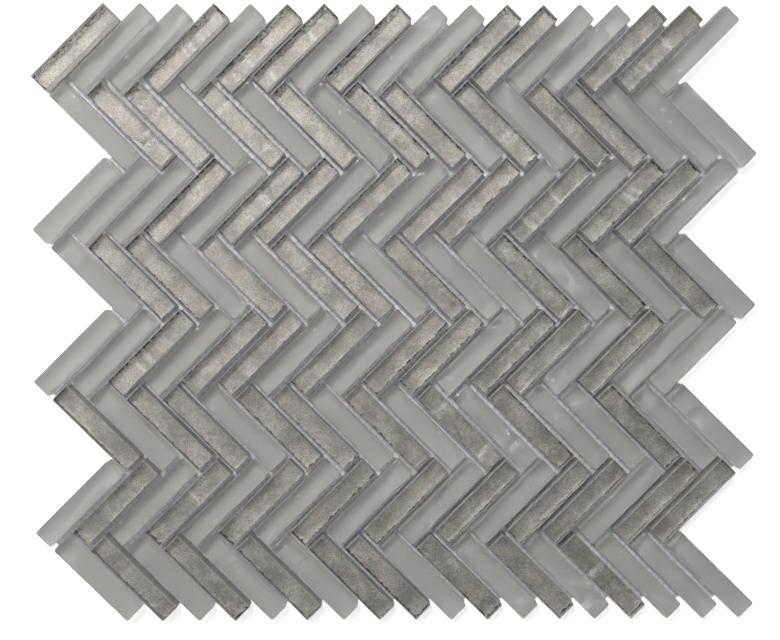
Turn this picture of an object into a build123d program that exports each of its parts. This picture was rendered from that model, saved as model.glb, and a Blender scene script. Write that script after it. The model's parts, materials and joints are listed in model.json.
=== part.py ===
"""Herringbone mosaic sheet: glass strips laid in interlocking rows on one mesh backing.

Two kinds of strip alternate: frosted glass, and clear glass with a silver foil bonded under it.
Frame: millimetres, +X along the rows, +Y up the sheet, +Z out of the visible face.
The origin is the middle of the backing's underside, which is the face that beds in adhesive.
"""

import os
from math import sqrt

from build123d import *

# Driving dimensions of the strips
chip_length = 48.0
chip_width = 10.0
chip_thickness = 8.0
frosted_edge_radius = 0.9
frosted_corner_radius = 1.1
clear_edge_radius = 0.35
clear_corner_radius = 0.6
foil_thickness = 0.2
foil_margin = 0.3

# Driving dimensions of the sheet
joint = 2.0
backing_thickness = 0.5
backing_trim = 0.8

# How far hand laying leaves a strip off its place, in millimetres, and out of line, in degrees
lay_shift = 0.15
lay_turn = 0.35

# One letter for each strip, row by row from the top: F is frosted glass, S is clear over silver foil
chip_chart = (
    "SFFSFSSFSFFSSFFSSF",
    "FSSFSFSFSSFSFSSFFF",
    "FFFSFSSFSFSSFSFSSF",
    "FSSFSFSSFSFFSFSFSF",
    "FFSFSSFSFSSFSSFSFF",
    "SFSSFSSFSFSFSFFSFF",
    "FSFSFSFSFSFSFSSFSS",
    "FSFSFSFSSFSFSFSFFF",
)
frosted, silver = "F", "S"

# Worked out from the driving dimensions. Strips lean 45 degrees, so pitches turn into steps by a diagonal
rows = len(chip_chart)
columns = len(chip_chart[0])
lean = 45.0
column_step = (chip_width + joint) * sqrt(2)
row_step = (chip_length + joint) / sqrt(2)
clear_thickness = chip_thickness - foil_thickness
foil_bottom = backing_thickness
clear_bottom = foil_bottom + foil_thickness


def row_lean(row):
    """Strips of the first row rise to the right, and each row leans against the one above it."""
    return lean if row % 2 == 0 else -lean


def chip_centre(row, column):
    """Where a strip's middle belongs. Every second row is set half a step to the right."""
    half_shift = -column_step / 4 if row % 2 == 0 else column_step / 4
    x = (column - (columns - 1) / 2) * column_step + half_shift
    y = ((rows - 1) / 2 - row) * row_step
    return x, y


def uneven(row, column, turn):
    """An even spread of values from -1 to 1, one for each strip, from multiples of the golden ratio."""
    golden = (sqrt(5) - 1) / 2
    number = (row * columns + column + 1) * (turn + 1)
    return 2 * (number * golden % 1) - 1


def laid(row, column, bottom):
    """The place of one strip as laid by hand, a little off its ideal place."""
    x, y = chip_centre(row, column)
    x += lay_shift * uneven(row, column, 1)
    y += lay_shift * uneven(row, column, 2)
    turn = row_lean(row) + lay_turn * uneven(row, column, 3)
    return Location((x, y, bottom), (0, 0, turn))


def strip(length, width, thickness, corner_radius, edge_radius):
    """A glass strip standing on z = 0, with rounded corners and a rounded rim round its face."""
    outline = RectangleRounded(length, width, corner_radius)
    blank = extrude(outline, amount=thickness)
    face_rim = blank.faces().sort_by(Axis.Z)[-1].edges()
    return fillet(face_rim, edge_radius)


def frosted_chip():
    return strip(chip_length, chip_width, chip_thickness, frosted_corner_radius, frosted_edge_radius)


def clear_chip():
    return strip(chip_length, chip_width, clear_thickness, clear_corner_radius, clear_edge_radius)


def foil_leaf():
    """The silver leaf under a clear strip, set in from its edge all round."""
    leaf = Rectangle(chip_length - 2 * foil_margin, chip_width - 2 * foil_margin)
    return extrude(leaf, amount=foil_thickness)


def mesh_backing():
    """The backing sheet, cut to the zigzag outline of the strips and trimmed back under their edges."""
    cell = Rectangle(chip_length + joint, chip_width + joint)
    cells = []
    for row in range(rows):
        for column in range(columns):
            x, y = chip_centre(row, column)
            cells.append(Location((x, y, 0), (0, 0, row_lean(row))) * cell)
    sheet = Sketch() + cells
    outline = offset(sheet.face().outer_wire(), -(joint / 2 + backing_trim), kind=Kind.INTERSECTION)
    return extrude(make_face(outline), amount=backing_thickness)


def row_of(piece, row, letter, bottom):
    """Copies of a piece at every strip of one kind in a row."""
    copies = []
    for column in range(columns):
        if chip_chart[row][column] == letter:
            copies.append(laid(row, column, bottom) * piece)
    return Compound(children=copies)


def main():
    os.makedirs("parts", exist_ok=True)
    frosted_piece = frosted_chip()
    clear_piece = clear_chip()
    foil_piece = foil_leaf()
    nodes = {"mesh_backing": mesh_backing()}
    for row in range(rows):
        name = f"row_{row + 1}"
        nodes[f"{name}_frosted_chips"] = row_of(frosted_piece, row, frosted, backing_thickness)
        nodes[f"{name}_clear_chips"] = row_of(clear_piece, row, silver, clear_bottom)
        nodes[f"{name}_silver_foil"] = row_of(foil_piece, row, silver, foil_bottom)
    for name, shape in nodes.items():
        export_step(shape, f"parts/{name}.step")


main()
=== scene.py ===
"""Looks of a herringbone glass mosaic sheet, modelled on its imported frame.

Frosted strips are satin glass painted grey on the back. Clear strips lie on crinkled silver leaf.
All of them are glued to a scrim of coated glass fibre. Units are metres, +X along the rows, +Z up.
"""

import json
from math import cos, exp, pi, radians, sin
from random import Random

import bmesh
import bpy
from mathutils import Matrix, Vector, noise

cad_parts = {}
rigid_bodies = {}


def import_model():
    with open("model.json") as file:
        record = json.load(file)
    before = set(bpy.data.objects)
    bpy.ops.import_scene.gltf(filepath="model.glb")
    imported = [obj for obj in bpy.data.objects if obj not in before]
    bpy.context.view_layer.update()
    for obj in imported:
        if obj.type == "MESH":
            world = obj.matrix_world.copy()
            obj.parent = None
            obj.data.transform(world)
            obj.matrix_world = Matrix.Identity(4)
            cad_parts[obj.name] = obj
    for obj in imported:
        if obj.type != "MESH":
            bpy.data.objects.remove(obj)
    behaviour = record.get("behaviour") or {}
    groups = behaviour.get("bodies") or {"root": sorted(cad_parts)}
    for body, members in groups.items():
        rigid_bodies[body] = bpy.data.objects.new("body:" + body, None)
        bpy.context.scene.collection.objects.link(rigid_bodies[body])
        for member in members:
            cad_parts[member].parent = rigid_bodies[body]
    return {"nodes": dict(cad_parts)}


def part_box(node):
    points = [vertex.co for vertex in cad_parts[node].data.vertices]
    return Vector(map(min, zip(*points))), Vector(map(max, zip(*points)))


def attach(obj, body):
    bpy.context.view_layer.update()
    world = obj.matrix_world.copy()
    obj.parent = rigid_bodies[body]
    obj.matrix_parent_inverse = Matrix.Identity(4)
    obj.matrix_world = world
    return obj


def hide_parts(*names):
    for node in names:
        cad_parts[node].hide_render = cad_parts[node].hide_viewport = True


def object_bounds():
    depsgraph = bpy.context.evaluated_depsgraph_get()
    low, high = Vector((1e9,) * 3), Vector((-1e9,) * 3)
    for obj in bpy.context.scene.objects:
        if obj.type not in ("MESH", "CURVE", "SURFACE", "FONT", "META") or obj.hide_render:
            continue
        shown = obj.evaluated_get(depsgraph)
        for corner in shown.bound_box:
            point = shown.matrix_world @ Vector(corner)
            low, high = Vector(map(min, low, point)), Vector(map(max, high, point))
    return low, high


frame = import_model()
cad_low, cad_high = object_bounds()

MM = 0.001
ROWS = 8

# Slack in telling points and faces apart
HAIR = 0.01 * MM
MERGE_REACH = 0.001 * MM
FOOT_NORMAL = -0.9
WALL_NORMAL = 0.1
LEVEL_NORMAL = 0.5
SLANT_NORMAL = 0.99

# Glass strips
STRIP_LENGTH = 48.0 * MM
STRIP_WIDTH = 10.0 * MM
FROSTED_CORNER = 1.1 * MM
FROSTED_RIM = 0.9 * MM
CLEAR_CORNER = 0.6 * MM
CLEAR_RIM = 0.45 * MM
FOOT_ARRIS = 0.2 * MM
CLEAR_CUTS = 11
CLEAR_WANDER = 0.16 * MM
SMEAR_SIDE = (-70.0 * MM, 80.0 * MM)

# Silver leaf under the clear strips
LEAF_MARGIN = 0.06 * MM
LEAF_TRIM = 0.36 * MM
LEAF_GAP = 0.5 * MM
CURL_REACH = 2.0 * MM
CURL_RISE = 0.17 * MM
LEAF_CELL = 0.36 * MM
LEAF_SINK = 0.65 * MM
FRAY_DEPTH = 1.1 * MM
FRAY_LENGTH = 1.6 * MM
FRAY_BAND = 2.4 * MM
FRAY_SHARE = (0.25, 1.0)
TEAR_BIAS = 0.1
GAP_BIAS = 0.6
GAP_STEEPNESS = 2
GAP_SHARES = (0.0, 0.5, 1.0)
SWELL_SIZE = 6.0 * MM
SWELL_HEIGHT = 0.40 * MM
CRINKLE_SIZE = 1.7 * MM
CRINKLE_HEIGHT = 0.28 * MM
PLEAT_SIZE = 2.4 * MM
PLEAT_HEIGHT = 0.32 * MM
QUIET_CRINKLE = (0.06, 0.20)
FOLD_REACH = 2.4 * MM
FOLD_LINE = 1.3 * MM
FOLD_SPAN = 0.35 * STRIP_LENGTH
# Strength of the mark on fold lines, where the leaf's finish paints highlights
FOLD_MARK = 0.85
RUCK_REACH = 3.0 * MM
RUCK_LENGTH = 1.2 * MM
RUCK_HEIGHT = 1.0 * MM
RUCK_RAGGEDNESS = 0.7
RAG_SCALE = 0.5
BEND_SCALE = 0.4
# How fast the mark rises in the rucked band, where the leaf's finish paints shade in the hollows and
# highlights on the crests
RUCK_MARK = 1.8
RIDGE_SHARPNESS = 2.5
RIDGE_MIDDLE = 0.35

# Leaves that were laid badly, by row and by their order among the row's leaves: rucked up along their upper
# side, or folded across
RUCKED_LEAVES = {1: (1, 2, 3, 4, 5, 6), 2: (1, 2, 3, 4)}
SLIGHT_RUCK = (0.0, 0.45)
FOLDED_LEAVES = {1: (2, 3, 4, 9), 2: (1, 2, 3, 7), 3: (2, 7, 8), 5: (1,), 6: (7,), 7: (2,), 8: (8,)}

# Scrim and its glue
STRAND_PITCH = 3.8 * MM
STRAND_WIDTH = 0.55 * MM
STRAND_WANDER = 0.10 * MM
STRAND_STEP = 12.0 * MM
STRAND_FLATNESS = 0.62
STRAND_UNEVENNESS = 0.06
FILM_LOW = 0.02 * MM
FILM_HIGH = 0.14 * MM

# The camera stands over the sheet, a little up and left of its middle
CAMERA_PLACE = (-11.8 * MM, 14.0 * MM, 530.0 * MM)
CAMERA_TURN = (radians(-1.819), radians(-0.982), radians(-0.051))
CAMERA_LENS = 51.6
SENSOR_WIDTH = 36.0
CAMERA_NEAR = 0.01

# Light
KEY_PLACE = (-0.402, 0.704, 1.258)
KEY_AIM = (-0.12, 0.10, 0.0)
KEY_SIZE = 0.36
KEY_SPREAD = radians(70)
KEY_POWER = 3.0
KEY_COLOUR = (1.0, 0.985, 0.965)
SKY_LEVEL = 0.45
SKY_COLOUR = (0.96, 0.98, 1.0, 1)
SKY_SIDE = (-0.59, 0.81, 0.0)
SKY_LEAN = 0.6
FLOOR_SIZE = 60.0
FLOOR_GLOW = 0.56

# Angles past which a crease stays sharp
GLASS_CREASE = radians(50)
SOFT_CREASE = radians(60)


# Shader expressions

class Socket:
    """An output of a shader node. Python's operators on it add Math nodes."""

    def __init__(self, tree, output):
        self.tree = tree
        self.output = output

    def math(self, operation, *operands):
        node = self.tree.nodes.new("ShaderNodeMath")
        node.operation = operation
        for socket, operand in zip(node.inputs, operands):
            feed(self.tree, socket, operand)
        return Socket(self.tree, node.outputs[0])

    def __add__(self, other):
        return self.math("ADD", self, other)

    def __radd__(self, other):
        return self.math("ADD", other, self)

    def __sub__(self, other):
        return self.math("SUBTRACT", self, other)

    def __rsub__(self, other):
        return self.math("SUBTRACT", other, self)

    def __mul__(self, other):
        return self.math("MULTIPLY", self, other)

    def __rmul__(self, other):
        return self.math("MULTIPLY", other, self)

    def __truediv__(self, other):
        return self.math("DIVIDE", self, other)

    def __rtruediv__(self, other):
        return self.math("DIVIDE", other, self)

    def least(self, other):
        return self.math("MINIMUM", self, other)

    def most(self, other):
        return self.math("MAXIMUM", self, other)

    def clamped(self):
        return self.most(0.0).least(1.0)

    def rise(self, low, high):
        """0 below low, 1 above high, and straight between them."""
        return ((self - low) / (high - low)).clamped()


def feed(tree, socket, value):
    """Links a socket to a node's output, or sets it to a plain value."""
    if isinstance(value, Socket):
        tree.links.new(value.output, socket)
    else:
        socket.default_value = value


class Nodes:
    """A node tree that is being filled."""

    def __init__(self, tree):
        self.tree = tree

    def node(self, kind, settings, inputs, output=0):
        """Any node: its settings are set first, then its sockets. Gives one of its outputs."""
        node = self.tree.nodes.new(kind)
        for name, value in settings.items():
            setattr(node, name, value)
        for name, value in inputs.items():
            feed(self.tree, node.inputs[name], value)
        return Socket(self.tree, node.outputs[output])


class Finish(Nodes):
    """A material in the making, round one Principled shader."""

    def __init__(self, name):
        self.material = bpy.data.materials.new(name)
        self.material.use_nodes = True
        super().__init__(self.material.node_tree)
        self.shader = self.tree.nodes["Principled BSDF"]

    def surface(self, **values):
        """Sets the shader's sockets, named in lower case with underscores."""
        for name, value in values.items():
            feed(self.tree, self.shader.inputs[name.replace("_", " ").title().replace("Ior", "IOR")], value)

    def place(self):
        return self.node("ShaderNodeTexCoord", {}, {}, "Object")

    def parts(self, vector):
        """The X, Y and Z of a vector."""
        split = self.node("ShaderNodeSeparateXYZ", {}, {"Vector": vector})
        return [Socket(self.tree, output) for output in split.output.node.outputs]

    def attribute(self, name):
        return self.node("ShaderNodeAttribute", {"attribute_name": name}, {}, "Fac")

    def noise(self, size, detail=2.0, roughness=0.5, distortion=0.0):
        """Soft noise from 0 to 1, whose patches are about as wide as size."""
        return self.node("ShaderNodeTexNoise", {}, {
            "Vector": self.place(), "Scale": 1 / size, "Detail": detail,
            "Roughness": roughness, "Distortion": distortion}, "Fac")

    def cells(self, size):
        """The distance to the nearest middle of cells about as wide as size."""
        return self.node("ShaderNodeTexVoronoi", {}, {
            "Vector": self.place(), "Scale": 1 / size}, "Distance")

    def mix(self, share, first, second):
        """A colour between two colours."""
        node = self.tree.nodes.new("ShaderNodeMix")
        node.data_type = "RGBA"
        feed(self.tree, node.inputs[0], share)
        feed(self.tree, node.inputs[6], first)
        feed(self.tree, node.inputs[7], second)
        return Socket(self.tree, node.outputs[2])

    def relief(self, height, depth, strength=1.0):
        """A bump from heights of 0 to 1, which stand for a depth in metres."""
        return self.node("ShaderNodeBump", {}, {
            "Height": height, "Distance": depth, "Strength": strength}, "Normal")

    def smudges(self):
        """Thin smears and small specks of dried adhesive, as a mask. Most smears lie on the right."""
        x = self.parts(self.place())[0]
        handled = self.noise(24.0 * MM, 1.0).rise(0.46, 0.58) * x.rise(*SMEAR_SIDE)
        smear = self.noise(5.0 * MM, 6.0, 0.75).rise(0.46, 0.64) * handled
        spots = {"Vector": self.place(), "Scale": 1 / (6.0 * MM)}
        near = self.node("ShaderNodeTexVoronoi", {"voronoi_dimensions": "2D"}, spots, "Distance")
        chance = self.node("ShaderNodeTexVoronoi", {"voronoi_dimensions": "2D"}, spots, "Color")
        speck = (1 - near.rise(0.045, 0.110)) * chance.rise(0.62, 0.63)
        return (smear * 0.24 + speck * 0.70).clamped()

    def cover(self, share, **values):
        """Lays a second Principled shader over the first, where a mask says so."""
        over = self.node("ShaderNodeBsdfPrincipled", {}, {})
        for name, value in values.items():
            feed(self.tree, over.output.node.inputs[name.replace("_", " ").title()], value)
        bare = Socket(self.tree, self.shader.outputs[0])
        both = self.node("ShaderNodeMixShader", {}, {0: share, 1: bare, 2: over})
        feed(self.tree, self.tree.nodes["Material Output"].inputs["Surface"], both)


def frosted_glass():
    """Acid-etched satin glass. Its grain scatters what is seen through it."""
    finish = Finish("frosted_glass")
    haze = finish.noise(9.0 * MM, 3.0)
    grain = finish.noise(0.35 * MM, 2.0)
    tone = finish.attribute("strip_tone")
    tint = finish.mix((tone * 0.6 + haze * 0.4).clamped(), (0.70, 0.70, 0.692, 1), (0.762, 0.758, 0.747, 1))
    finish.surface(base_color=tint, roughness=0.58 + haze * 0.12,
                   normal=finish.relief(grain, 0.02 * MM, 0.4))
    finish.surface(transmission_weight=1.0, ior=1.5)
    finish.cover(finish.smudges(), base_color=(0.88, 0.93, 0.98, 1), roughness=0.9)
    return finish.material


def back_paint():
    """Grey paint on the back of the frosted strips."""
    finish = Finish("back_paint")
    cloud = finish.noise(6.0 * MM, 3.0)
    colour = finish.mix(cloud, (0.545, 0.528, 0.513, 1), (0.615, 0.597, 0.580, 1))
    finish.surface(base_color=colour, roughness=0.7 + cloud * 0.1)
    return finish.material


def clear_glass():
    """Clear polished glass with a slight wave in its faces."""
    finish = Finish("clear_glass")
    wave = finish.noise(6.0 * MM, 1.0)
    finish.surface(base_color=(0.965, 0.98, 0.97, 1), roughness=0.02,
                   normal=finish.relief(wave, 0.05 * MM, 0.5))
    finish.surface(transmission_weight=1.0, ior=1.52)
    return finish.material


def wall_coat(name, dark, light, through):
    """Thin pale sealer on the sawn sides of the strips, patchy from the spray gun. It lets light through."""
    finish = Finish(name)
    patches = finish.noise(0.9 * MM, 4.0, 0.7)
    colour = finish.mix(patches.rise(0.34, 0.66), dark, light)
    finish.surface(base_color=colour, roughness=0.40 + patches * 0.2,
                   normal=finish.relief(patches, 0.06 * MM, 0.7))
    finish.surface(transmission_weight=through, ior=1.5)
    return finish.material


def arris_grind_and_highlight():
    """The ground edge of a clear strip: a chalky line, uneven along its length, whose pale patches also
    paint the bright highlight lines along the strips' edges.
    """
    finish = Finish("arris_grind_and_highlight")
    grain = finish.noise(1.2 * MM, 4.0, 0.7)
    # The pale patches stand partly for the grind and partly for painted highlight lines on the edges
    colour = finish.mix(grain.rise(0.38, 0.58), (0.20, 0.204, 0.208, 1), (0.50, 0.51, 0.527, 1))
    finish.surface(base_color=colour, roughness=0.30 + grain * 0.3,
                   normal=finish.relief(grain, 0.05 * MM, 0.6))
    finish.surface(transmission_weight=0.45, ior=1.52)
    return finish.material


def dark_coat():
    """Brown-black sealer on the back of the clear strips, seen where the leaf is torn."""
    finish = Finish("dark_coat")
    cloud = finish.noise(1.5 * MM, 3.0)
    colour = finish.mix(cloud, (0.03, 0.028, 0.025, 1), (0.13, 0.12, 0.105, 1))
    finish.surface(base_color=colour, roughness=0.55 + cloud * 0.2)
    return finish.material


def silver_leaf():
    """Crinkled champagne-silver leaf: grainy, sparkling on its creases and worn through at its border, with
    painted shade in the hollows and painted highlights on the crests where it is rucked or folded.
    """
    finish = Finish("silver_leaf")
    patch = finish.noise(6.0 * MM, 2.0)
    mottle = finish.noise(2.2 * MM, 4.0, 0.65)
    grain = finish.noise(0.50 * MM, 3.0, 0.7)
    flakes = finish.cells(0.8 * MM)
    clean = finish.mix(patch.rise(0.48, 0.72), (0.815, 0.775, 0.73, 1), (0.77, 0.672, 0.563, 1))
    tone = mottle * 0.5 + finish.noise(11.0 * MM, 1.0) * 0.5
    dull = finish.mix(tone.rise(0.41, 0.61), (0.47, 0.436, 0.402, 1), clean)
    colour = finish.mix(grain.rise(0.32, 0.62), finish.mix(0.72, dull, (0.10, 0.09, 0.08, 1)), dull)
    uv = finish.node("ShaderNodeUVMap", {"uv_map": "leaf"}, {})
    along, across, _ = finish.parts(uv)
    ends = along.least(1 - along) * ((STRIP_LENGTH - 2 * LEAF_MARGIN) / MM)
    sides = across.least(1 - across) * ((STRIP_WIDTH - 2 * LEAF_MARGIN) / MM)
    border = 1 - ends.least(sides).rise(0.1, 1.1)
    worn = (border * 0.34 + finish.noise(1.1 * MM, 4.0, 0.7)).rise(0.78, 0.88)
    # Crests and hollows of a crumple noise, which carry painted highlights and painted shade where the leaf
    # is rucked or folded
    fold = finish.noise(1.5 * MM, 3.0, 0.6, distortion=0.8)
    slope = fold - 0.5
    painted_crest_highlight = (1.6 - slope.math("ABSOLUTE", slope) * 14).clamped()
    rucked = finish.attribute("ruck_and_painted_light")
    painted_hollow_shade = rucked.rise(0.86, 1.0) * fold.rise(0.48, 0.38) * 0.7
    # Painted shade: near-black in the hollows of the rucked band
    colour = finish.mix(painted_hollow_shade, colour, (0.09, 0.08, 0.067, 1))
    # Painted highlights: near-white on the crests of the rucks and folds
    colour = finish.mix(rucked * painted_crest_highlight * 0.9, colour, (0.98, 0.95, 0.91, 1))
    colour = finish.mix(worn * 0.9, colour, (0.06, 0.055, 0.045, 1))
    height = flakes * 0.7 + grain * 0.8 + mottle * 0.4
    # The crests lose their metal, so that the painted highlights on them stay pale as a matt white
    finish.surface(base_color=colour, roughness=0.34 + mottle * 0.16,
                   metallic=1 - worn.most(rucked * painted_crest_highlight),
                   normal=finish.relief(height, 0.06 * MM, 1.0))
    return finish.material


def leaf_back():
    """Grey protective paint on the back of the leaf."""
    finish = Finish("leaf_back")
    cloud = finish.noise(5.0 * MM, 3.0)
    colour = finish.mix(cloud, (0.33, 0.325, 0.32, 1), (0.42, 0.415, 0.405, 1))
    finish.surface(base_color=colour, roughness=0.62 + cloud * 0.12)
    return finish.material


def coated_fibre():
    """Resin-coated glass fibre, with its filaments running at a slant round the strand."""
    finish = Finish("coated_fibre")
    cloud = finish.noise(4.0 * MM, 3.0)
    x, y, _ = finish.parts(finish.place())
    slope = (x + y) * (2 * pi / (0.28 * MM))
    twist = slope.math("SINE", slope)
    colour = finish.mix(cloud, (0.46, 0.46, 0.50, 1), (0.57, 0.57, 0.61, 1))
    finish.surface(base_color=colour, roughness=0.42 + cloud * 0.16,
                   normal=finish.relief(twist * 0.5 + 0.5, 0.02 * MM, 0.6))
    return finish.material


def dried_glue():
    """Dried dispersion glue: a cloudy lilac-grey skin, uneven in thickness."""
    finish = Finish("dried_glue")
    cloud = finish.noise(3.5 * MM, 4.0, 0.6)
    pits = finish.cells(1.6 * MM)
    colour = finish.mix(cloud, (0.63, 0.635, 0.675, 1), (0.72, 0.725, 0.77, 1))
    finish.surface(base_color=colour, roughness=0.36 + cloud * 0.22,
                   normal=finish.relief(cloud + pits * 0.5, 0.12 * MM, 0.7))
    return finish.material


def white_ground():
    """Matt white ground that keeps a soft shadow. The camera and the glass see some white of its own."""
    finish = Finish("white_ground")
    finish.surface(base_color=(0.86, 0.86, 0.865, 1), roughness=0.9)
    path = finish.node("ShaderNodeLightPath", {}, {}, "Is Camera Ray")
    paths = path.output.node.outputs
    seen = path
    for kind in ("Is Glossy Ray", "Is Transmission Ray"):
        seen = seen + Socket(finish.tree, paths[kind])
    glow = finish.node("ShaderNodeEmission", {}, {"Strength": FLOOR_GLOW * seen.clamped()}, "Emission")
    both = finish.node("ShaderNodeAddShader", {}, {}, "Shader")
    adder = both.output.node
    feed(finish.tree, adder.inputs[0], Socket(finish.tree, finish.shader.outputs[0]))
    feed(finish.tree, adder.inputs[1], glow)
    feed(finish.tree, finish.tree.nodes["Material Output"].inputs["Surface"], both)
    return finish.material


# Hand tools

def deselect():
    for thing in bpy.data.objects:
        thing.select_set(False)


def activate(thing):
    deselect()
    thing.select_set(True)
    bpy.context.view_layer.objects.active = thing


def pick_edges(thing, test):
    """In edit mode, selects the edges whose two ends pass a test, and nothing else."""
    mesh = bmesh.from_edit_mesh(thing.data)
    bpy.ops.mesh.select_mode(type="EDGE")
    bpy.ops.mesh.select_all(action="DESELECT")
    for edge in mesh.edges:
        edge.select_set(test(edge.verts[0].co, edge.verts[1].co))
    bmesh.update_edit_mesh(thing.data)


def block(name, length, width, height):
    """A block standing on z = 0, in edit mode."""
    deselect()
    bpy.ops.mesh.primitive_cube_add(size=1.0, location=(0, 0, height / 2))
    thing = bpy.context.object
    thing.name = name
    thing.scale = (length, width, height)
    bpy.ops.object.transform_apply(location=True, rotation=True, scale=True)
    bpy.ops.object.mode_set(mode="EDIT")
    return thing


def joined(name, things):
    """One object from many, at the origin."""
    deselect()
    for thing in things:
        thing.select_set(True)
    bpy.context.view_layer.objects.active = things[0]
    bpy.ops.object.join()
    whole = bpy.context.object
    whole.name = name
    whole.data.name = name
    return whole


def even_normals(thing):
    """Smooth rims between flat faces, whose normals stay true."""
    activate(thing)
    bpy.ops.object.shade_smooth_by_angle(angle=GLASS_CREASE)
    bpy.ops.object.modifier_add(type="WEIGHTED_NORMAL")
    thing.modifiers[-1].keep_sharp = True
    bpy.ops.object.modifier_apply(modifier=thing.modifiers[-1].name)


def copy_at(pattern, place):
    """A copy of a pattern piece with its own mesh, set down at a place."""
    mesh = pattern.data.copy()
    mesh.transform(place)
    thing = bpy.data.objects.new(pattern.name, mesh)
    bpy.context.scene.collection.objects.link(thing)
    return thing


def discard(thing):
    mesh = thing.data
    bpy.data.objects.remove(thing)
    bpy.data.meshes.remove(mesh)


# Places, read from the frame

def islands(mesh):
    """The separate shells of a mesh, each as a list of faces."""
    left = set(mesh.faces)
    while left:
        first = min(left, key=lambda face: face.index)
        shell = [first]
        left.discard(first)
        for face in shell:
            for edge in face.edges:
                for near in edge.link_faces:
                    if near in left:
                        left.discard(near)
                        shell.append(near)
        yield shell


def mid_span(points, axis):
    """The middle of the stretch that points cover along an axis."""
    reach = [point.dot(axis) for point in points]
    return (min(reach) + max(reach)) / 2


def strip_places(node):
    """Where each solid of a node lies, left to right: a turn about Z and the middle of its underside."""
    mesh = bmesh.new()
    mesh.from_mesh(frame["nodes"][node].data)
    bmesh.ops.remove_doubles(mesh, verts=mesh.verts, dist=MERGE_REACH)
    mesh.faces.index_update()
    places = []
    for shell in islands(mesh):
        walls = [face for face in shell if abs(face.normal.z) < WALL_NORMAL]
        across = max(walls, key=lambda face: face.calc_area()).normal.copy()
        if across.y < 0:
            across = -across
        along = Vector((across.y, -across.x, 0))
        points = [vert.co for face in shell for vert in face.verts]
        middle = along * mid_span(points, along) + across * mid_span(points, across)
        middle.z = min(p.z for p in points)
        turn = Matrix((along, across, Vector((0, 0, 1)))).transposed()
        places.append(Matrix.Translation(middle) @ turn.to_4x4())
    mesh.free()
    return sorted(places, key=lambda place: place.translation.x)


def backing_outline():
    """The zigzag edge of the backing, as points in order."""
    mesh = bmesh.new()
    mesh.from_mesh(frame["nodes"]["mesh_backing"].data)
    bmesh.ops.remove_doubles(mesh, verts=mesh.verts, dist=MERGE_REACH)
    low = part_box("mesh_backing")[0].z + HAIR
    rim = [e for e in mesh.edges if all(v.co.z < low for v in e.verts)
           and sum(abs(f.normal.z) > LEVEL_NORMAL for f in e.link_faces) == 1]
    start = rim[0].verts[0]
    outline = [start]
    used = set()
    while True:
        step = next((e for e in outline[-1].link_edges if e in rim and e not in used), None)
        if step is None:
            break
        used.add(step)
        outline.append(step.other_vert(outline[-1]))
    points = [(v.co.x, v.co.y) for v in outline[:-1]]
    mesh.free()
    return points


# Pieces

def number(thing, name, value):
    """Gives every point of a mesh one value, for its material to read."""
    layer = thing.data.attributes.new(name, "FLOAT", "POINT")
    layer.data.foreach_set("value", [value] * len(thing.data.vertices))


def paint(thing, main, foot, wall=None, slant=None):
    """The foot faces get a finish of their own, and so may the walls and the slanting faces of an arris."""
    for material in (main, foot, wall, slant):
        if material:
            thing.data.materials.append(material)
    for face in thing.data.polygons:
        if face.normal.z < FOOT_NORMAL:
            face.material_index = 1
        elif wall and face.normal.z < WALL_NORMAL:
            face.material_index = 2
        elif slant and face.normal.z < SLANT_NORMAL:
            face.material_index = 3


def frosted_pattern(height):
    """One satin strip with soft corners and a soft rim."""
    thing = block("frosted_strip", STRIP_LENGTH, STRIP_WIDTH, height)
    pick_edges(thing, lambda a, b: abs(a.z - b.z) > height / 2)
    bpy.ops.mesh.bevel(offset=FROSTED_CORNER, segments=5)
    pick_edges(thing, lambda a, b: min(a.z, b.z) > height - HAIR)
    bpy.ops.mesh.bevel(offset=FROSTED_RIM, segments=5)
    pick_edges(thing, lambda a, b: max(a.z, b.z) < HAIR)
    bpy.ops.mesh.bevel(offset=FOOT_ARRIS, segments=2)
    bpy.ops.object.mode_set(mode="OBJECT")
    return thing


def clear_pattern(height):
    """One clear strip with a fine arris, cut across so that its long sides can wander."""
    thing = block("clear_strip", STRIP_LENGTH - CLEAR_WANDER, STRIP_WIDTH - CLEAR_WANDER, height)
    pick_edges(thing, lambda a, b: abs(a.z - b.z) > height / 2)
    bpy.ops.mesh.bevel(offset=CLEAR_CORNER, segments=3)
    pick_edges(thing, lambda a, b: abs(a.x - b.x) > STRIP_LENGTH / 2)
    bpy.ops.mesh.subdivide(number_cuts=CLEAR_CUTS)
    pick_edges(thing, lambda a, b: min(a.z, b.z) > height - HAIR and on_rim(a, b))
    bpy.ops.mesh.bevel(offset=CLEAR_RIM, segments=3)
    bpy.ops.object.mode_set(mode="OBJECT")
    return thing


def on_rim(a, b):
    """Whether an edge runs along a clear strip's outline and not across its face."""
    inside = STRIP_WIDTH / 2 - CLEAR_CORNER - CLEAR_WANDER
    crosses = abs(a.y - b.y) > STRIP_WIDTH / 2 and abs(a.x - b.x) < HAIR
    at_end = min(abs(a.x), abs(b.x)) > STRIP_LENGTH / 2 - CLEAR_CORNER
    return at_end or not crosses and max(abs(a.y), abs(b.y)) > inside


def let_wander(thing, chance):
    """Moves a clear strip's cross cuts in and out a little, as snapped glass does."""
    cut = STRIP_LENGTH / (CLEAR_CUTS + 1)
    sway = [[chance.uniform(-1, 1) for _ in range(CLEAR_CUTS + 3)] for _ in range(2)]
    for vert in thing.data.vertices:
        index = round((vert.co.x + STRIP_LENGTH / 2) / cut)
        side = 0 if vert.co.y > 0 else 1
        vert.co.y += sway[side][index] * CLEAR_WANDER / 2 * abs(vert.co.y) / (STRIP_WIDTH / 2)


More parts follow.
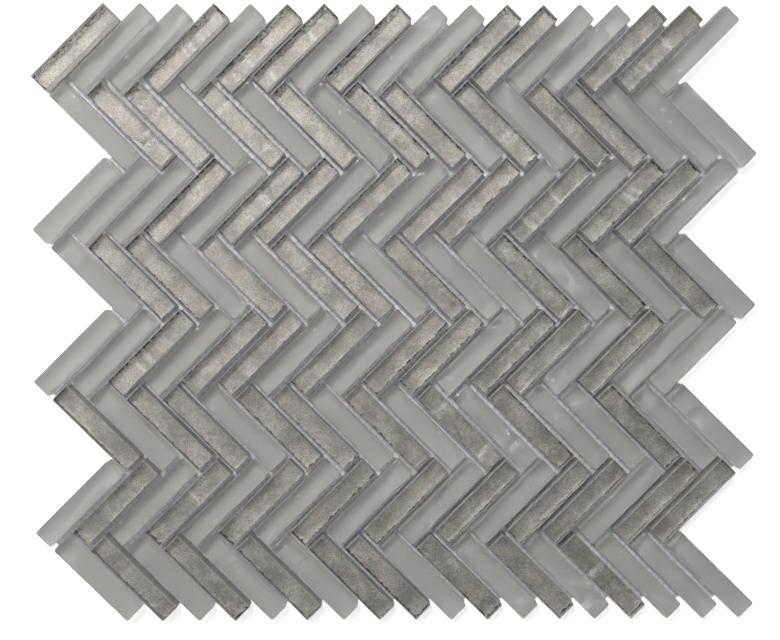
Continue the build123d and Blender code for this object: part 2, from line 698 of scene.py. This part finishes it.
def leaf_pattern(height):
    """One flat leaf: a fine grid whose border is drawn down to a plain back."""
    length = STRIP_LENGTH - 2 * LEAF_MARGIN
    width = STRIP_WIDTH - 2 * LEAF_MARGIN
    top = height + LEAF_SINK
    deselect()
    bpy.ops.mesh.primitive_grid_add(
        x_subdivisions=round(length / LEAF_CELL), y_subdivisions=round(width / LEAF_CELL),
        size=1.0, location=(0, 0, top), calc_uvs=True)
    thing = bpy.context.object
    thing.name = "leaf"
    thing.data.uv_layers[0].name = "leaf"
    thing.scale = (length, width, 1)
    bpy.ops.object.transform_apply(location=True, rotation=True, scale=True)
    bpy.ops.object.mode_set(mode="EDIT")
    bpy.ops.mesh.select_all(action="SELECT")
    bpy.ops.mesh.region_to_loop()
    bpy.ops.mesh.extrude_region_move(TRANSFORM_OT_translate={"value": (0, 0, -top)})
    bpy.ops.mesh.edge_face_add()
    bpy.ops.object.mode_set(mode="OBJECT")
    return thing


def fray(thing, chance):
    """Draws the leaf's border in by uneven amounts, on some sides more than on others, and curls it up."""
    half_length = STRIP_LENGTH / 2 - LEAF_MARGIN
    half_width = STRIP_WIDTH / 2 - LEAF_MARGIN
    depths = {side: FRAY_DEPTH * chance.uniform(*FRAY_SHARE) for side in ("left", "right", "low", "high")}
    shifts = {side: chance.uniform(0, 1000) for side in depths}
    gaps = {side: LEAF_GAP * chance.choice(GAP_SHARES) for side in depths}
    for vert in thing.data.vertices:
        x, y = vert.co.x, vert.co.y
        side = "high" if y > 0 else "low"
        end = "right" if x > 0 else "left"
        vert.co.y -= drawn_in(y, x, half_width, depths[side], gaps[side], shifts[side])
        vert.co.x -= drawn_in(x, y, half_length, depths[end], gaps[end], shifts[end])
        corner = max(0.0, abs(vert.co.x) + abs(vert.co.y) - half_length - half_width + LEAF_TRIM) / 2
        vert.co.x -= corner if x > 0 else -corner
        vert.co.y -= corner if y > 0 else -corner
        if vert.co.z > LEAF_SINK / 2:
            inset = min(half_length - abs(x), half_width - abs(y))
            vert.co.z += CURL_RISE * max(0.0, 1 - inset / CURL_REACH) ** 2


def drawn_in(out, along, half, depth, gap, shift):
    """How far a point goes back towards the middle line, most at the border and nothing further in."""
    share = max(0.0, (abs(out) - half + FRAY_BAND) / FRAY_BAND)
    rough = noise.noise(Vector((along / FRAY_LENGTH + shift, shift, 0)))
    opened = min(1.0, max(0.0, GAP_BIAS + GAP_STEEPNESS * rough))
    tear = max(0.0, rough + TEAR_BIAS) * depth + opened * gap
    return share ** 2 * tear * (1 if out > 0 else -1)


def ruck_and_painted_light(thing, rising, amount, folds, chance):
    """Crumples a leaf on its upper left: along a side if its row rises, else at an end.

    An attribute marks the crumple and the folds, for the leaf's finish to paint shade into their hollows and
    highlights onto their crests.
    """
    shift = chance.uniform(0, 1000)
    layer = thing.data.attributes.new("ruck_and_painted_light", "FLOAT", "POINT")
    for vert, mark in zip(thing.data.vertices, layer.data):
        inset = STRIP_WIDTH / 2 - vert.co.y if rising else STRIP_LENGTH / 2 + vert.co.x
        spot = Vector((vert.co.x / RUCK_LENGTH + shift, vert.co.y / RUCK_LENGTH, shift))
        edge = 1 - inset / RUCK_REACH + RUCK_RAGGEDNESS * noise.noise(spot * RAG_SCALE)
        bend = FOLD_LINE * noise.noise(spot * BEND_SCALE)
        lines = [FOLD_MARK * exp(-((vert.co.x - fold + bend) / FOLD_LINE) ** 2) for fold in folds]
        # The mark that the leaf's finish turns into painted shade and painted highlights
        mark.value = max([amount * min(1.0, max(0.0, RUCK_MARK * edge))] + lines)
        if edge > 0 and vert.co.z > LEAF_SINK / 2:
            ridge = max(0.0, 1 - RIDGE_SHARPNESS * abs(noise.noise(spot)))
            vert.co.z += min(1.0, 2 * edge) * amount * RUCK_HEIGHT * (ridge - RIDGE_MIDDLE)


def weigh(thing, quiet, folds):
    """Says how far each point of a leaf's upper face gives to the creases. Its back stays flat."""
    tops = thing.vertex_groups.new(name="upper_face")
    for vert in thing.data.vertices:
        if vert.co.z > LEAF_SINK / 2:
            give = max([quiet] + [exp(-((vert.co.x - fold) / FOLD_REACH) ** 2) for fold in folds])
            tops.add([vert.index], give, "REPLACE")


def crinkle(thing):
    """Swells and creases the upper face of a row's leaves."""
    swell = bpy.data.textures.new("leaf_swell", "CLOUDS")
    swell.noise_scale = SWELL_SIZE
    swell.noise_depth = 2
    crease = bpy.data.textures.new("leaf_crease", "VORONOI")
    crease.noise_scale = CRINKLE_SIZE
    crease.weight_1 = -1.0
    crease.weight_2 = 1.0
    pleat = bpy.data.textures.new("leaf_pleat", "CLOUDS")
    pleat.noise_scale = PLEAT_SIZE
    pleat.noise_depth = 2
    pleat.noise_type = "HARD_NOISE"
    activate(thing)
    for texture, height in ((swell, SWELL_HEIGHT), (crease, CRINKLE_HEIGHT), (pleat, PLEAT_HEIGHT)):
        bpy.ops.object.modifier_add(type="DISPLACE")
        press = thing.modifiers[-1]
        press.texture = texture
        press.texture_coords = "LOCAL"
        press.direction = "Z"
        press.mid_level = 0.5
        press.strength = height
        press.vertex_group = "upper_face"
        bpy.ops.object.modifier_apply(modifier=press.name)
    thing.vertex_groups.clear()


def rows_of_strips(finishes):
    """One piece for each row and kind of strip."""
    low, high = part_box("row_1_frosted_chips")
    frosted = frosted_pattern(high.z - low.z)
    low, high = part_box("row_1_clear_chips")
    clear = clear_pattern(high.z - low.z)
    low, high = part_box("row_1_silver_foil")
    leaf = leaf_pattern(high.z - low.z)
    for row in range(1, ROWS + 1):
        frosted_row(row, frosted, finishes)
        clear_row(row, clear, finishes)
        leaf_row(row, leaf, finishes)
    for pattern in (frosted, clear, leaf):
        discard(pattern)


def frosted_row(row, pattern, finishes):
    node = f"row_{row}_frosted_chips"
    chance = Random(node)
    strips = []
    for place in strip_places(node):
        strip = copy_at(pattern, place)
        number(strip, "strip_tone", chance.random())
        strips.append(strip)
    piece = joined(f"row_{row}_frosted_strips", strips)
    even_normals(piece)
    paint(piece, finishes["frosted"], finishes["paint"], finishes["frosted_wall"])
    seat(piece, node)


def clear_row(row, pattern, finishes):
    node = f"row_{row}_clear_chips"
    chance = Random(node)
    strips = []
    for place in strip_places(node):
        strip = copy_at(pattern, Matrix.Identity(4))
        let_wander(strip, chance)
        strip.data.transform(place)
        strips.append(strip)
    piece = joined(f"row_{row}_clear_strips", strips)
    even_normals(piece)
    paint(piece, finishes["clear"], finishes["coat"], finishes["clear_wall"], finishes["arris"])
    seat(piece, node)


def leaf_row(row, pattern, finishes):
    node = f"row_{row}_silver_foil"
    chance = Random(node)
    leaves = []
    for place in strip_places(node):
        leaf = copy_at(pattern, Matrix.Identity(4))
        fray(leaf, chance)
        order = len(leaves) + 1
        quiet = chance.uniform(*QUIET_CRINKLE)
        spots = [chance.uniform(-FOLD_SPAN, FOLD_SPAN) for _ in range(2)]
        folds = spots if order in FOLDED_LEAVES.get(row, ()) else []
        weigh(leaf, quiet, folds)
        amount = 1.0 if order in RUCKED_LEAVES.get(row, ()) else chance.uniform(*SLIGHT_RUCK)
        ruck_and_painted_light(leaf, row % 2 == 1, amount, folds, chance)
        leaf.data.transform(place)
        leaves.append(leaf)
    piece = joined(f"row_{row}_silver_leaves", leaves)
    crinkle(piece)
    activate(piece)
    bpy.ops.object.shade_smooth_by_angle(angle=SOFT_CREASE)
    paint(piece, finishes["leaf"], finishes["leaf_back"])
    seat(piece, node)


def seat(piece, node):
    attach(piece, "root")
    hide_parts(node)


def inside_spans(outline, origin, direction):
    """The stretches of a line that lie inside an outline, as pairs of distances along it."""
    normal = Vector((-direction.y, direction.x))
    crossings = []
    for a, b in zip(outline, outline[1:] + outline[:1]):
        a, b = Vector(a) - origin, Vector(b) - origin
        side_a, side_b = a.dot(normal), b.dot(normal)
        if (side_a < 0) != (side_b < 0):
            share = side_a / (side_a - side_b)
            crossings.append(a.lerp(b, share).dot(direction))
    crossings.sort()
    return list(zip(crossings[0::2], crossings[1::2]))


def scrim(outline, finishes):
    """Two layers of strands at right angles, cut off at the backing's edge."""
    line = bpy.data.curves.new("scrim", "CURVE")
    line.dimensions = "3D"
    line.bevel_depth = STRAND_WIDTH / 2
    line.bevel_resolution = 1
    line.use_fill_caps = True
    chance = Random("scrim")
    low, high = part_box("mesh_backing")
    reach = (high - low).length / 2
    count = int(reach / STRAND_PITCH)
    rise = STRAND_WIDTH / 2 * STRAND_FLATNESS
    heights = (rise + HAIR, high.z - rise)
    for angle, height in zip((45, -45), heights):
        direction = Vector((cos(radians(angle)), sin(radians(angle))))
        normal = Vector((-direction.y, direction.x))
        for index in range(-count, count + 1):
            origin = normal * (index + chance.uniform(-STRAND_UNEVENNESS, STRAND_UNEVENNESS)) * STRAND_PITCH
            for start, end in inside_spans(outline, origin, direction):
                add_strand(line, origin, direction, normal, start, end, height, chance)
    thing = bpy.data.objects.new("scrim", line)
    bpy.context.scene.collection.objects.link(thing)
    activate(thing)
    bpy.ops.object.convert(target="MESH")
    thing = bpy.context.object
    flatten_strands(thing, heights)
    bpy.ops.object.shade_smooth_by_angle(angle=SOFT_CREASE)
    thing.data.materials.clear()
    thing.data.materials.append(finishes["fibre"])
    seat(thing, "mesh_backing")


def add_strand(line, origin, direction, normal, start, end, height, chance):
    """One strand, wandering a little to either side."""
    steps = max(1, round((end - start) / STRAND_STEP))
    spline = line.splines.new("POLY")
    spline.points.add(steps)
    for index, point in enumerate(spline.points):
        along = start + (end - start) * index / steps
        place = origin + direction * along + normal * chance.uniform(-1, 1) * STRAND_WANDER
        point.co = (place.x, place.y, height, 1)


def flatten_strands(thing, heights):
    """Presses the strands flat, to the thickness that the backing has room for."""
    middle = sum(heights) / 2
    for vert in thing.data.vertices:
        level = heights[0] if vert.co.z < middle else heights[1]
        vert.co.z = level + (vert.co.z - level) * STRAND_FLATNESS


def glue_film(outline, finishes):
    """The skin of glue between the strands."""
    deselect()
    mesh = bpy.data.meshes.new("glue_film")
    mesh.from_pydata([(x, y, FILM_LOW) for x, y in outline], [], [list(range(len(outline)))])
    thing = bpy.data.objects.new("glue_film", mesh)
    bpy.context.scene.collection.objects.link(thing)
    activate(thing)
    bpy.ops.object.mode_set(mode="EDIT")
    bpy.ops.mesh.select_all(action="SELECT")
    bpy.ops.mesh.extrude_region_move(TRANSFORM_OT_translate={"value": (0, 0, FILM_HIGH - FILM_LOW)})
    bpy.ops.mesh.select_all(action="SELECT")
    bpy.ops.mesh.normals_make_consistent(inside=False)
    bpy.ops.object.mode_set(mode="OBJECT")
    thing.data.materials.append(finishes["glue"])
    seat(thing, "mesh_backing")


# Stage

def ground(finishes):
    deselect()
    bpy.ops.mesh.primitive_plane_add(size=FLOOR_SIZE, location=(0, 0, cad_low.z))
    floor = bpy.context.object
    floor.name = "ground"
    floor.data.materials.append(finishes["ground"])


def camera():
    view = bpy.data.cameras.new("camera")
    view.sensor_width = SENSOR_WIDTH
    view.lens = CAMERA_LENS
    view.clip_start = CAMERA_NEAR
    holder = bpy.data.objects.new("camera", view)
    holder.location = CAMERA_PLACE
    holder.rotation_euler = CAMERA_TURN
    bpy.context.scene.collection.objects.link(holder)
    bpy.context.scene.camera = holder


def lights():
    """A soft box up and to the left, under a sky that is brighter on that side."""
    lamp = bpy.data.lights.new("key", "AREA")
    lamp.shape = "SQUARE"
    lamp.size = KEY_SIZE
    lamp.spread = KEY_SPREAD
    lamp.energy = KEY_POWER
    lamp.color = KEY_COLOUR
    holder = bpy.data.objects.new("key", lamp)
    holder.location = KEY_PLACE
    holder.rotation_euler = (Vector(KEY_AIM) - Vector(KEY_PLACE)).to_track_quat("-Z", "Y").to_euler()
    bpy.context.scene.collection.objects.link(holder)
    sky = bpy.data.worlds.new("sky")
    sky.use_nodes = True
    bpy.context.scene.world = sky
    nodes = Nodes(sky.node_tree)
    way = nodes.node("ShaderNodeTexCoord", {}, {}, "Generated")
    lean = nodes.node("ShaderNodeVectorMath", {"operation": "DOT_PRODUCT"}, {0: way, 1: SKY_SIDE}, "Value")
    tone = nodes.tree.nodes["Background"].inputs
    tone["Color"].default_value = SKY_COLOUR
    feed(nodes.tree, tone["Strength"], (lean * SKY_LEAN + 1.0) * SKY_LEVEL)


def main():
    finishes = {
        "frosted": frosted_glass(),
        "paint": back_paint(),
        "clear": clear_glass(),
        "arris": arris_grind_and_highlight(),
        "clear_wall": wall_coat("clear_wall", (0.42, 0.417, 0.412, 1), (0.94, 0.94, 0.945, 1), 0.85),
        "frosted_wall": wall_coat("frosted_wall", (0.76, 0.757, 0.75, 1), (0.94, 0.94, 0.94, 1), 0.85),
        "coat": dark_coat(),
        "leaf": silver_leaf(),
        "leaf_back": leaf_back(),
        "fibre": coated_fibre(),
        "glue": dried_glue(),
        "ground": white_ground(),
    }
    camera()
    lights()
    ground(finishes)
    rows_of_strips(finishes)
    outline = backing_outline()
    scrim(outline, finishes)
    glue_film(outline, finishes)
    bpy.context.scene.view_settings.view_transform = "Standard"


main()
